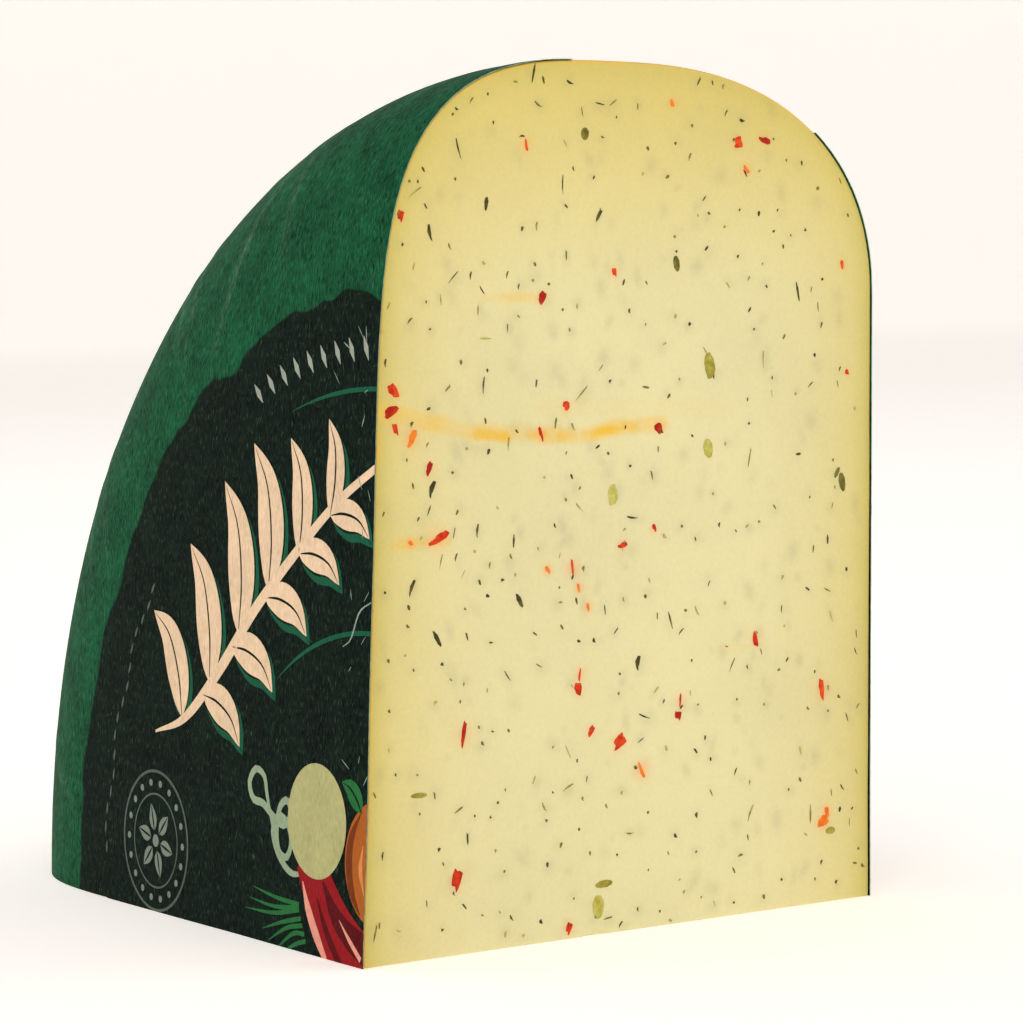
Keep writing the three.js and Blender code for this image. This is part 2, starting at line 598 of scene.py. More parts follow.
# Vertical paper fibres and blotches. Place is the flat sheet's own, in tenths of a metre
def makeFibreGroup():
    group, given, result = newGroup("paperFibres", [
        ("Place", "Vector", None), ("Color", "Color", (1, 1, 1, 1)), ("Fibres", "Float", 0.3),
        ("Blotches", "Float", 0.2), ("Lint", "Float", 1.0)],
        [("Color", "Color"), ("Roughness", "Float"), ("Height", "Float")])
    bent = warp(group, given["Place"], 22.0, 1.0, 0.03)
    threads = noise(group, stretch(group, bent, (330, 62, 1)), 1.0, 3.0, 0.6)
    crumbs = noise(group, stretch(group, given["Place"], (150, 90, 1)), 1.0, 4.0, 0.65)
    clouds = noise(group, stretch(group, given["Place"], (17, 11, 1)), 1.0, 3.0, 0.6)
    fine = calc(group, "ADD", calc(group, "MULTIPLY", threads, 0.6), calc(group, "MULTIPLY", crumbs, 0.4))
    fine = calc(group, "MULTIPLY", calc(group, "SUBTRACT", fine, 0.5), given["Fibres"])
    wide = calc(group, "MULTIPLY", calc(group, "SUBTRACT", clouds, 0.5), given["Blotches"])
    gain = calc(group, "MAXIMUM", calc(group, "ADD", calc(group, "ADD", fine, wide), 1.0), 0.25)
    lint = ramp(group, noise(group, stretch(group, bent, (520, 70, 1)), 1.0, 2.0), 0.56, 0.78, 0.0, 0.3)
    lint = calc(group, "MULTIPLY", lint, given["Lint"])
    color = mixColors(group, lint, brighten(group, given["Color"], gain), paint(120, 150, 128))
    group.links.new(color, result["Color"])
    group.links.new(ramp(group, threads, 0.3, 0.75, 0.66, 0.5), result["Roughness"])
    group.links.new(calc(group, "ADD", threads, crumbs), result["Height"])
    return group


# Soft spots scattered evenly: Mask is 1 in their middles. Sizes are in metres
def makeSpotGroup():
    group, given, result = newGroup("softSpots", [
        ("Place", "Vector", None), ("Apart", "Float", 0.006), ("Size", "Float", 0.001),
        ("Share", "Float", 0.5)], [("Mask", "Float")])
    bent = warp(group, given["Place"], 500.0, 2.0, 0.0013)
    scale = calc(group, "DIVIDE", 1.0, given["Apart"])
    cells = addNode(group, "TexVoronoi", {"Vector": bent, "Scale": scale})
    away = calc(group, "MULTIPLY", cells.outputs["Distance"], given["Apart"])
    pick = addNode(group, "SeparateColor", {0: cells.outputs["Color"]})
    size = calc(group, "MULTIPLY", given["Size"], calc(group, "ADD", pick.outputs[1], 0.4))
    near = calc(group, "SUBTRACT", 1.0, ramp(group, calc(group, "DIVIDE", away, size), 0.15, 1.0))
    kept = calc(group, "LESS_THAN", pick.outputs[0], given["Share"])
    strong = calc(group, "MULTIPLY", near, ramp(group, pick.outputs[2], 0.0, 1.0, 0.35, 1.0))
    group.links.new(calc(group, "MULTIPLY", strong, kept), result["Mask"])
    return group


paste = {
    "depthColors": [  # mm in from the rind, and the paste's color there
        (0, (192, 176, 88)), (1, (206, 191, 108)), (2, (212, 198, 119)), (3, (216, 202, 128)),
        (4, (219, 206, 136)), (8, (223, 211, 148)), (12, (225, 214, 156)), (20, (227, 218, 164)),
        (30, (228, 220, 168)),
    ],
    "topColor": (217, 198, 104),
    "rindColor": (196, 158, 66),
    "rindDark": (120, 98, 40),
    "edgeColor": (238, 186, 70),
    "blotColor": (186, 182, 132),
    "shadowColor": (150, 148, 112),
    "edgeDot": (140, 76, 30),
    "oilColor": (238, 190, 50),
    "glowColor": (250, 150, 60),
    "roughness": 0.42,
}


# The cut paste, darker and yellower towards the rind, and the coated rind itself
def makePasteMaterial(spots):
    material, tree, shader = newMaterial("cheesePaste", {
        "Specular IOR Level": 0.35, "Subsurface Weight": 0.25, "Subsurface Radius": (3.0, 2.2, 1.2),
        "Subsurface Scale": 0.0008})
    place = addNode(tree, "TexCoord").outputs["Object"]
    height = addNode(tree, "SeparateXYZ", {0: place}).outputs[2]
    depth = calc(tree, "DIVIDE", readValue(tree, "rindDepth"), 30.0)
    depthBands = [(deep / 30, color) for deep, color in paste["depthColors"]]
    top = calc(tree, "MULTIPLY", ramp(tree, height, 0.085, 0.128), 0.65)
    color = mixColors(tree, top, colorBands(tree, depth, depthBands), paint(*paste["topColor"]))
    for apart, size, share, strength in ((0.0085, 0.0021, 0.5, 0.2), (0.004, 0.0009, 0.35, 0.22)):
        blots = placeGroup(
            tree, spots, {"Place": place, "Apart": apart, "Size": size, "Share": share})["Mask"]
        color = mixColors(tree, calc(tree, "MULTIPLY", blots, strength), color, paint(*paste["blotColor"]))
    color = mixColors(tree, readValue(tree, "herbShadow"), color, paint(*paste["shadowColor"]))
    color = mixColors(tree, readValue(tree, "oilStain"), color, paint(*paste["oilColor"]))
    color = mixColors(tree, readValue(tree, "pepperGlow"), color, paint(*paste["glowColor"]))
    edge = readValue(tree, "edgeStain")
    color = mixColors(tree, edge, color, paint(*paste["edgeColor"]))
    dots = placeGroup(tree, spots, {"Place": place, "Apart": 0.0026, "Size": 0.0007, "Share": 0.5})["Mask"]
    color = mixColors(tree, calc(tree, "MULTIPLY", dots, ramp(tree, edge, 0.05, 0.5)),
                      color, paint(*paste["edgeDot"]))
    clouds = noise(tree, place, 38.0, 3.0)
    grain = noise(tree, place, 1500.0, 3.0)
    gain = calc(tree, "ADD", ramp(tree, clouds, 0.25, 0.75, 0.965, 1.03),
                ramp(tree, grain, 0.25, 0.75, -0.02, 0.02))
    color = brighten(tree, color, gain)
    flaked = placeGroup(
        tree, spots, {"Place": place, "Apart": 0.0045, "Size": 0.0013, "Share": 0.55})["Mask"]
    rind = mixColors(tree, calc(tree, "MULTIPLY", flaked, 0.7),
                     paint(*paste["rindColor"]), paint(*paste["rindDark"]))
    rind = brighten(tree, rind, ramp(tree, noise(tree, place, 120.0, 5.0), 0.2, 0.8, 0.72, 1.15))
    color = mixColors(tree, readValue(tree, "rindShare"), color, rind)
    tree.links.new(color, shader.inputs["Base Color"])
    rough = ramp(tree, noise(tree, place, 300.0, 4.0), 0.2, 0.8,
                 paste["roughness"] - 0.08, paste["roughness"] + 0.1)
    tree.links.new(rough, shader.inputs["Roughness"])
    pits = placeGroup(tree, spots, {"Place": place, "Apart": 0.0028, "Size": 0.0005, "Share": 0.3})["Mask"]
    lines = noise(tree, stretch(tree, place, (160, 160, 2400)), 1.0, 3.0)
    bumps = calc(tree, "SUBTRACT", calc(tree, "ADD", grain, calc(tree, "MULTIPLY", lines, 0.5)), pits)
    addBump(tree, shader, bumps, 0.00005, 0.7)
    return material


sheet = {
    "outside": 0.45 * mm,  # its face over the wheel's side
    "thickness": 0.12 * mm,
    "step": 1.0 * mm,
    "frontMargin": 10 * mm,  # from the rim's middle line to the front sheet's edge
    "backMargin": 37 * mm,
    "below": 2.4 * mm,
    "discReach": 95 * mm,
    "green": (19, 81, 51),
    "disc": (11, 26, 20),
    "paperEdge": (120, 158, 128),
    # lighter color along the pleat ridges: partly paper wear, partly painted sheen where the shoulder
    # catches the light
    "crease": (92, 130, 104),
    "pleats": 26,
    "pleatHeight": 0.12 * mm,
}


# Fine ridges where the sheet gathers over the shoulder
def pleatHeight(away, up, reach, seed):
    draw = random.Random(seed)
    length, turn = np.hypot(away, up), np.arctan2(up, away)
    height = np.zeros(np.shape(away))
    for _ in range(sheet["pleats"]):
        middle = math.radians(draw.uniform(2, 89))
        start = reach * draw.uniform(0.6, 0.9)
        tilt = draw.uniform(-0.2, 1.2)
        wide = draw.uniform(0.7, 1.5) * mm
        tall = sheet["pleatHeight"] * draw.uniform(0.3, 1)
        side = (turn - middle) * length - tilt * (length - start)
        grown = smoothStep(start, start + 22 * mm, length)
        height = np.maximum(height, tall * grown * np.exp(-(side / wide) ** 2))
    return height


# A quarter sheet as a flat grid: its places away from the upright cut and up from the axis
def flatQuarter(name, reach):
    steps = round(reach / sheet["step"] * 0.93)
    piece, places = addGrid(name, steps, steps)
    across, upwards, _ = (places.T + 1) / 2
    roundAcross = across * np.sqrt(1 - upwards ** 2 / 2)
    roundUp = upwards * np.sqrt(1 - across ** 2 / 2)
    share, turn = np.hypot(roundAcross, roundUp), np.arctan2(roundUp, roundAcross)
    below = sheet["below"]
    whole = below * np.sin(turn) + np.sqrt(reach ** 2 - (below * np.cos(turn)) ** 2)
    away = share * whole * np.cos(turn)
    up = share * whole * np.sin(turn) - below
    return piece, away, up


# Keeps flat places with the mesh, for patterns that follow the sheet
def keepFlatPlaces(piece, away, up):
    layer = piece.data.uv_layers[0] if piece.data.uv_layers else piece.data.uv_layers.new()
    layer.name = "flatSheet"
    corners = np.empty(len(piece.data.loops), np.int32)
    piece.data.loops.foreach_get("vertex_index", corners)
    places = np.stack([away, up], -1)[corners] * 10
    layer.data.foreach_set("uv", places.astype(np.float32).ravel())


def faceOutwards(piece, isFront):
    mesh = piece.data
    normals = np.empty(len(mesh.polygons) * 3, np.float32)
    mesh.polygons.foreach_get("normal", normals)
    facing = normals.reshape(-1, 3)[:, 0].sum()
    if (facing > 0) == isFront:
        editWhole(piece, bpy.ops.mesh.flip_normals)


# Gives a surface its thickness, inwards, and keeps it behind the planes of the two cuts
def thicken(piece, isFront, thickness, rimShift=0):
    faceOutwards(piece, isFront)
    applyModifier(piece, "SOLIDIFY", thickness=thickness, offset=-1, material_offset_rim=rimShift)
    setPlaces(piece, np.maximum(getPlaces(piece), [-1, axisY + 0.01 * mm, axisZ + 0.01 * mm]))
    smoothBelow(piece, 50)


def makeSheet(name, isFront, reach, seed, materials):
    piece, away, up = flatQuarter(name, reach)
    keepFlatPlaces(piece, away, up)
    offset = sheet["outside"] + pleatHeight(away, up, reach, seed)
    setPlaces(piece, wrap(isFront, away, up, offset))
    setValues(piece, "crease", (offset - sheet["outside"]) / sheet["pleatHeight"])
    cutOff(piece, (0, 0, axisZ + 0.02 * mm), (0, 0, 1))
    for material in materials:
        piece.data.materials.append(material)
    thicken(piece, isFront, sheet["thickness"], 1)
    return piece


# The printed sheet: green, with a dark ragged disc round the wheel's axis, and pleat ridges painted lighter
# for wear and for painted sheen
def makeSheetMaterial(name, fibres, middleColor, middleReach):
    material, tree, shader = newMaterial(name, {"Specular IOR Level": 0.02})
    place = addNode(tree, "UVMap", uv_map="flatSheet").outputs[0]
    length = addNode(tree, "VectorMath", {0: place}, operation="LENGTH").outputs["Value"]
    waves = noise(tree, place, 4.0, 0.0)
    teeth = noise(tree, place, 13.0, 1.0, 0.3)
    ragged = calc(tree, "ADD", ramp(tree, waves, 0.2, 0.8, -0.014, 0.014),
                  ramp(tree, teeth, 0.25, 0.75, -0.009, 0.009))
    beyond = calc(tree, "SUBTRACT", calc(tree, "ADD", length, ragged), middleReach * 10)
    isGreen = ramp(tree, beyond, -0.003, 0.003)
    color = mixColors(tree, isGreen, paint(*middleColor), paint(*sheet["green"]))
    # Lighter color on the pleat ridges, patchy by noise: partly paper wear, partly painted sheen on the
    # shoulder
    creaseWearAndSheen = calc(tree, "MULTIPLY", readValue(tree, "crease"),
                ramp(tree, noise(tree, place, 60.0), 0.3, 0.65, 0.05, 0.6))
    color = mixColors(tree, creaseWearAndSheen, color, paint(*sheet["crease"]))
    result = placeGroup(tree, fibres, {"Place": place, "Color": color, "Fibres": 5.2, "Blotches": 1.6})
    tree.links.new(result["Color"], shader.inputs["Base Color"])
    tree.links.new(result["Roughness"], shader.inputs["Roughness"])
    addBump(tree, shader, result["Height"], 0.00006, 0.8)
    return material


def makePaperEdge():
    material, tree, shader = newMaterial("paperEdge", {"Roughness": 0.8})
    place = addNode(tree, "TexCoord").outputs["Object"]
    color = brighten(tree, paint(*sheet["paperEdge"])[:3],
                     ramp(tree, noise(tree, place, 900.0), 0.3, 0.7, 0.6, 1.3))
    tree.links.new(color, shader.inputs["Base Color"])
    return material


inks = {
    "cream": (236, 206, 172),
    "dark": (11, 26, 20),
    "leafGreen": (28, 92, 66),
    "pale": (160, 168, 156),
    "dim": (92, 102, 92),
    "flowerPale": (128, 138, 126),
    "beige": (214, 178, 128),
    "brown": (134, 84, 48),
    "leafInk": (96, 118, 60),
    "olive": (182, 180, 125),
    "tendril": (150, 170, 140),
    "red": (150, 28, 34),
    "deepRed": (92, 18, 24),
    "pink": (235, 160, 140),
    "orange": (176, 96, 40),
    "deepOrange": (120, 58, 26),
    "paleOrange": (214, 140, 78),
    "chive": (44, 112, 60),
    "scratch": (150, 168, 152),
}


def makeInk(name, fibres):
    material, tree, shader = newMaterial(name + "Ink", {"Specular IOR Level": 0.02})
    place = addNode(tree, "UVMap", uv_map="flatSheet").outputs[0]
    result = placeGroup(tree, fibres, {"Place": place, "Color": paint(*inks[name]),
                                       "Fibres": 4.0 if name == "dark" else 1.0, "Blotches": 0.4,
                                       "Lint": 1.0 if name == "dark" else 0.3})
    tree.links.new(result["Color"], shader.inputs["Base Color"])
    tree.links.new(result["Roughness"], shader.inputs["Roughness"])
    addBump(tree, shader, result["Height"], 0.00006, 0.8)
    return material


# A smooth line through points, evenly stepped
def smoothLine(points, count):
    knots = np.array(points, float)
    knots = np.concatenate([2 * knots[:1] - knots[1:2], knots, 2 * knots[-1:] - knots[-2:-1]])
    share = np.linspace(0, 1, 40, endpoint=False)[:, None]
    parts = []
    for a, b, c, d in zip(knots, knots[1:], knots[2:], knots[3:]):
        parts.append(0.5 * (2 * b + (c - a) * share + (2 * a - 5 * b + 4 * c - d) * share ** 2
                            + (3 * b - a - 3 * c + d) * share ** 3))
    line = np.concatenate(parts + [knots[-2:-1]])
    length = np.concatenate([[0], np.cumsum(np.linalg.norm(np.diff(line, axis=0), axis=1))])
    even = np.linspace(0, length[-1], count)
    return np.stack([np.interp(even, length, line[:, i]) for i in range(2)], -1), length[-1]


# A flat mark in mm along a smooth line, as wide as widths say from its start to its end
def inkRibbon(points, widths, ink, level=0, shift=0.0):
    _, whole = smoothLine(points, 2)
    steps = max(6, round(whole / 1.0))
    rows = max(1, round(max(widths) / 1.4))
    line, _ = smoothLine(points, steps + 1)
    along = np.gradient(line, axis=0)
    side = np.stack([-along[:, 1], along[:, 0]], -1) / np.linalg.norm(along, axis=1, keepdims=True)
    wide = np.interp(np.linspace(0, 1, steps + 1), np.linspace(0, 1, len(widths)), widths)
    mark, flat = addGrid("mark", steps, rows)
    step = np.round((flat[:, 0] + 1) / 2 * steps).astype(int)
    place = line[step] + side[step] * ((flat[:, 1] / 2 + shift) * wide[step])[:, None]
    setPlaces(mark, np.column_stack([place, np.full(len(place), level)]))
    mark.data.materials.append(inkMaterials[ink])
    return mark


def inkRound(middle, radius, ink, level=0, squash=1.0, turn=0.0):
    steps = max(5, round(radius / 0.8))
    mark, flat = addGrid("mark", steps, steps)
    a, b, _ = flat.T
    x = a * np.sqrt(1 - b ** 2 / 2) * radius
    y = b * np.sqrt(1 - a ** 2 / 2) * radius * squash
    c, s = math.cos(math.radians(turn)), math.sin(math.radians(turn))
    x, y = middle[0] + x * c - y * s, middle[1] + x * s + y * c
    setPlaces(mark, np.column_stack([x, y, np.full(len(x), level)]))
    mark.data.materials.append(inkMaterials[ink])
    return mark


def onArc(radius, turn, middle=(0, 0)):
    turn = math.radians(turn)
    return middle[0] + radius * math.cos(turn), middle[1] + radius * math.sin(turn)


def arc(radius, start, end, count=24, middle=(0, 0)):
    return [onArc(radius, turn, middle) for turn in np.linspace(start, end, count)]


# A leaf that bends a little, in two halves with a gap for its midrib
def inkLeaf(base, tip, width, bend, ink, level=0):
    base, tip = np.array(base, float), np.array(tip, float)
    side = np.array([-(tip - base)[1], (tip - base)[0]])
    line = [base, (base * 0.68 + tip * 0.32) + side * bend,
            (base * 0.32 + tip * 0.68) + side * bend * 1.2, tip]
    shares = np.linspace(0, 1, 15)
    body = width * np.sin(math.pi * shares ** 0.8) ** 0.85
    inkRibbon(line, list(np.maximum(body, 0.02)), ink, level)
    inkRibbon(line[:3] + [tip * 0.9 + line[2] * 0.1], [0.1, 0.4, 0.4, 0.3, 0.05], "dark", level + 1)


# Joins the flat marks, lays them on the sheet and gives them the ink's thickness
def finishPrint(name, isFront):
    selectNothing()
    marks = [piece for piece in bpy.data.objects if piece.name.startswith("mark")]
    for mark in marks:
        mark.select_set(True)
    bpy.context.view_layer.objects.active = marks[0]
    bpy.ops.object.join()
    piece = nameNew(name)
    cutOff(piece, (0, 0, 0), (1, 0, 0))
    away, up, level = getPlaces(piece).T
    away, up = away * mm, up * mm
    keepFlatPlaces(piece, away, up)
    setPlaces(piece, wrap(isFront, away, up, sheet["outside"] + (0.035 + 0.012 * level) * mm))
    cutOff(piece, (0, 0, axisZ + 0.03 * mm), (0, 0, 1))
    thicken(piece, isFront, 0.02 * mm)
    return piece


# A leafy sprig, a pepper, an orange root, chives, a flower and a border, in mm from the wheel's axis
frontArt = {
    "stem": [(66, 27), (56, 30), (45, 38), (34, 48), (22, 57), (10, 65), (-2, 71)],
    "leaves": [  # base, tip, width, bend
        ((57, 30), (67, 46), 7.5, 0.12), ((48, 36), (55, 57), 8.5, 0.1), ((39, 44), (44, 67), 8.5, 0.1),
        ((30, 51), (35, 73), 8, 0.1), ((21, 57), (24, 74), 6.5, 0.1), ((12, 63), (13, 77), 5.5, 0.1),
        ((50, 34), (38, 27), 6.5, -0.12), ((41, 42), (28, 36), 6.5, -0.12), ((31, 50), (18, 45), 6, -0.12),
        ((21, 57), (9, 53), 5.5, -0.12), ((12, 63), (1, 60), 5, -0.12),
    ],
    "flower": (66, 9.7),
    "disc": (14.1, 18.2),
}


def printFront():
    art = frontArt
    for base, tip, width, bend in art["leaves"]:
        inkLeaf(np.array(base) - [0.8, 0.9], np.array(tip) - [0.9, 1.2], width + 0.8, bend, "leafGreen", 0)
    for base, tip, width, bend in art["leaves"]:
        inkLeaf(base, tip, width + 0.4, bend, "dark", 2)
        inkLeaf(base, tip, width - 0.4, bend, "cream", 3)
    inkRibbon(art["stem"], [0.4, 1.8, 2.2, 2.0, 1.8, 1.5, 1.2], "cream", 4)
    for turn in np.arange(67, 90, 2.6):
        ends = [onArc(87.4 + rise, turn + tilt)
                for rise, tilt in ((-1.8, 0.5), (0, 0), (1.8, -0.5))]
        inkRibbon(ends, [0.1, 1.2, 0.1], "pale", 0)
    inkRibbon(arc(81.5, 73, 91), [0.1, 0.4, 0.6, 0.7, 0.7], "leafGreen", 0)
    inkRibbon(arc(46.5, 55, 91), [0.1, 0.5, 0.7, 0.7, 0.7], "leafGreen", 0)
    for turn in np.arange(4, 37, 2.1):
        wave = 0.7 * math.sin(turn * 2.4)
        inkRibbon(arc(84 + wave, turn, turn + 1.35, 5), [0.1, 0.5, 0.45, 0.1], "dim", 0)
    printFlower(*art["flower"], "flowerPale", "dim")
    inkRound(art["disc"], 8.5, "olive", 4)
    inkRibbon([(17, 10.2), (21.5, 9.8), (25.4, 12), (27.4, 15.4), (25.6, 17.8), (22.8, 17),
               (21.6, 14.2), (23, 11.9), (25.4, 12.6), (26.2, 15.6), (25.2, 19.2), (22.9, 20.4),
               (21.9, 18.4), (24, 16.6), (27.4, 17.6), (30.6, 19.2), (33.6, 19.6), (34.8, 22),
               (32.8, 24.2), (30.2, 23.3), (29.4, 20.8), (28.4, 18.2), (27.4, 15.8)],
              [0.5, 1.1, 1.3, 1.2, 1.1, 1.2, 1.2, 1.2, 1.2, 1.2, 1.2, 1.1, 0.9, 0.6], "tendril", 1)
    inkRound((-3.4, 13.6), 9.2, "orange", 1)
    inkRibbon([(1.2, 6), (3.6, 9), (4.6, 13), (4.0, 17), (1.6, 20.6)],
              [0.3, 1.6, 1.8, 1.4, 0.2], "deepOrange", 2)
    inkRibbon([(0.2, 9), (1.4, 12.5), (0.8, 16)], [0.2, 1.2, 0.2], "paleOrange", 2)
    inkLeaf((1.4, 20.6), (7, 24.6), 3.4, 0.1, "chive", 3)
    inkRibbon([(16.4, 13), (12.6, 7.4), (8.6, 2.6), (3.4, -1.6), (-3, -5)], [8, 9, 11, 13, 14], "red", 2)
    inkRibbon([(12, 9.6), (8.4, 5.2), (3.6, 2.4), (-3, 0.4)], [0.4, 3.0, 4.2, 5.0], "deepRed", 3)
    inkRibbon([(17.9, 9), (16.4, 5.4), (13.9, 1.6), (11, -1.8)], [0.2, 1.7, 1.9, 1.1], "pink", 3)
    inkRibbon([(13.6, 7), (11.4, 3.2), (8, -0.6), (5, -3)], [0.2, 1.2, 1.5, 0.8], "deepRed", 4)
    inkRibbon([(7, 4.6), (4.4, 2.4), (0.6, -0.4)], [0.1, 0.8, 0.9], "pink", 4)
    for start, middle, tip in (
            ((19, 5.4), (26, 5.6), (33.6, 6.4)), ((19, 4.6), (27, 3.2), (36.1, 2.9)),
            ((19, 4.9), (27, 4.2), (34.6, 4.6)),
            ((18, 2.4), (23, 1.4), (28.8, -1.2)), ((17.4, 1.2), (21, 0.8), (26.6, -2.4)),
            ((18.4, 3.4), (24, 2.2), (30.6, 0.4)),
            ((17, 0.2), (20, -0.6), (24.7, -2.6))):
        inkRibbon([start, middle, tip], [0.7, 0.7, 0.45, 0.08], "chive", 1)
    inkRibbon([(7.6, 44.2), (5.4, 45.4), (3.2, 49.4), (0, 51)], [0.08, 0.3, 0.3, 0.15], "scratch", 5)
    draw = random.Random(4)
    for _ in range(16):
        away, up = draw.uniform(0.2, 9) ** 1.1, draw.uniform(20, 95)
        tilt, long = draw.uniform(-1.2, 1.2), draw.uniform(0.8, 2.6)
        tip = (away + long * math.sin(tilt), up + long * math.cos(tilt))
        inkRibbon([(away, up), tip], [0.05, draw.uniform(0.1, 0.24), 0.05], "scratch", 5)


# A plain flower inside rings of dots
def printFlower(x, y, ink, ringInk):
    inkRibbon(arc(11.0, 0, 360, 60, (x, y)), [0.45, 0.45], ringInk, 1)
    inkRibbon(arc(7.4, 0, 360, 48, (x, y)), [0.3, 0.3], ringInk, 1)
    for turn in range(0, 360, 20):
        inkRound(onArc(9.2, turn, (x, y)), 0.55, ink, 1)
    for turn in range(15, 375, 60):
        tip = onArc(5.9, turn, (x, y))
        root = onArc(1.6, turn, (x, y))
        inkLeaf(root, tip, 2.4, 0.0, ink, 1)
    inkRound((x, y), 1.0, ink, 2)


# A pale panel with a wreath round it, in mm from the wheel's axis
def printBack():
    inkRound((0, 0), 33, "beige", 0)
    inkRibbon(arc(35.2, -4, 94, 60), [0.7, 0.7], "leafGreen", 0)
    inkRibbon(arc(29.8, -4, 94, 60), [0.4, 0.4], "brown", 1)
    for turn in np.arange(3, 92, 7.0):
        base = onArc(24.2, turn)
        inkLeaf(base, onArc(28.6, turn + 9), 2.0, 0.1, "leafInk", 1)
        inkLeaf(base, onArc(20.2, turn + 10), 2.0, -0.1, "leafInk", 1)
    inkRibbon(arc(24.2, -4, 94, 50), [0.5, 0.5], "leafInk", 1)
    printFlower(9.5, 9.5, "brown", "beige")
    for turn in np.arange(2, 92, 4.0):
        inkRibbon(arc(62, turn - 0.9, turn + 0.9, 4), [0.1, 1.7, 0.1], "pale", 0)
        inkRound(onArc(62, turn + 2), 0.5, "pale", 0)
    for turn in np.arange(6, 90, 9.0):
        base = onArc(46, turn)
        inkLeaf(base, onArc(56, turn + 3), 3.2, 0.1, "cream", 0)
        inkLeaf(base, onArc(40.5, turn + 8), 2.6, -0.1, "cream", 0)
    inkRibbon(arc(46, -4, 94, 60), [0.9, 0.9], "cream", 1)


flakes = {
    "herbCount": 390,
    "herbApart": 2.1,
    "hiddenHerbs": 190,
    "pepper": [  # across, height, length, width in mm, turn in degrees, and orange share
        (-12, 95, 2.2, 1.4, 70, 0), (-38, 82.5, 2.6, 1.6, 130, 0.3), (-38.5, 79.5, 3.0, 1.5, 20, 0),
        (-38, 77, 2.2, 0.8, 105, 0.2), (-35.5, 75.5, 3.2, 1.3, 60, 1), (-8.5, 79, 1.6, 1.5, 90, 0.4),
        (8.5, 75, 1.8, 1.6, 60, 0), (-13, 75, 2.6, 0.7, 105, 0.3), (-32.5, 71, 2.4, 1.0, 70, 0),
        (-31.5, 61, 4.4, 1.4, 25, 0.4), (-36, 60.5, 1.2, 0.6, 130, 1), (1, 58, 2, 1, 10, 0.3),
        (7, 60, 1.4, 0.8, 110, 0.2), (-8, 55, 3, 0.5, 95, 0.4), (-12.5, 55, 1.5, 0.8, 120, 1),
        (-5.5, 49, 1.5, 0.6, 95, 1), (-7, 52, 1.6, 0.5, 100, 1), (25.5, 42, 2.8, 1, 95, 0.2),
        (-7.5, 37, 2.2, 1.5, 100, 0.2), (-7.2, 39.2, 2.4, 0.4, 80, 0.4), (-5.5, 30.5, 2, 1, 60, 0.2),
        (-0.5, 28.5, 3.2, 1.7, 40, 0.3), (10.5, 31.5, 1.6, 1.2, 90, 0), (11, 33.6, 2.6, 0.4, 85, 0.1),
        (-28, 32, 4.4, 0.8, 80, 0.1), (-30, 11, 3.8, 1.6, 75, 0.1), (38, 33, 3.8, 1.1, 95, 0.4),
        (37.5, 12.5, 2.6, 1.8, 30, 0.9), (38.4, 14, 2.0, 0.8, 100, 0.9), (1, 98.5, 1.6, 0.8, 100, 0.4),
        (24.5, 117.5, 2, 1.7, 20, 0.4), (29.5, 118, 2.6, 1.2, -20, 0.1), (26, 113.5, 1.8, 0.7, 120, 1),
        (-36, 107.5, 2, 1, 80, 0.1), (44.5, 82, 1, 0.8, 90, 0.2), (44, 98.5, 1.6, 0.7, 95, 0.4),
        (3.5, 24, 3.2, 0.6, 110, 1), (-10.5, 1.6, 2.2, 1, 70, 0.2), (-14, 117.5, 2.2, 0.5, 95, 0.6),
        (12.5, 123.5, 1.4, 0.7, 100, 1),
    ],
    "seeds": [  # across, height, length, width in mm, turn in degrees, and how dark
        (12.5, 99.5, 2.6, 1.5, 100, 0.9), (18, 84, 4.2, 2.4, 100, 0.45), (17.5, 71.5, 3.2, 2.2, 100, 0.2),
        (-0.5, 65.5, 3.4, 2.2, 90, 0.1), (43, 65, 3.2, 1.6, 100, 0.8), (42, 66.5, 2.0, 0.9, 60, 0.9),
        (-4, 7.5, 3.4, 1.4, 5, 0.6), (-5, 4.2, 3.8, 2.6, 90, 0.25), (-36, 24, 3, 1, 0, 0.6),
        (39, 11, 2, 1.4, 3, 0.5), (-3.5, 119, 2, 1.8, 90, 0.8),
    ],
    "bigHerbs": [(-31, 105), (-21.5, 109), (-1.5, 107), (-36, 54), (-32, 68),
                 (-17.5, 51), (-32, 46.5), (3.5, 40)],
    "oil": [  # strength, half width in mm, and the line
        (0.5, 1.3, [(-42, 80), (-35, 78.4), (-25, 76.1), (-15, 75.4), (-9, 74.7),
                    (-3, 74.9), (5, 75.7), (9, 75.6)]),
        (1.0, 0.95, [(-24, 75.8), (-19, 75.2)]), (0.95, 0.85, [(-15, 75.2), (-12.5, 75.3)]),
        (0.8, 0.9, [(-9.5, 74.6), (-7, 74.6)]), (0.9, 0.7, [(-5.5, 74.9), (1, 75.2), (4, 75.6)]),
        (0.35, 1.6, [(-43, 79), (-41.5, 74)]),
        (0.4, 0.7, [(-22, 95.4), (-12.5, 95.2)]), (0.45, 0.7, [(-39, 60.5), (-30, 60.5)]),
        (0.12, 0.7, [(17, 41), (24, 41)]), (0.10, 1.6, [(-12, 79), (10, 78), (20, 77)]),
    ],
    "proud": 0.05 * mm,
    "deep": 0.12 * mm,
}


# For each kind: the shards' bend, raggedness and pinch, its colors by tone, and its flakes in the bottom cut
herbKind = {
    "seed": 8, "segments": 6, "firstShard": 0, "blunt": 0.42,
    "shards": [(0.1, 0.12, 0.3), (0.6, 0.1, 0.1), (-0.5, 0.13, 0.4), (0.0, 0.18, 0.1), (1.1, 0.11, 0.2)],
    "colors": [(66, 60, 28), (92, 82, 34), (122, 106, 44), (148, 132, 58), (190, 174, 92)],
    "grain": 0.3, "roughness": 0.6,
    "below": 230, "belowAcross": (-45, 45), "belowAway": (2, 125), "belowInside": 2,
    "long": lambda draw: 0.5 + draw.expovariate(1 / 0.9), "wide": (0.3, 0.6),
}

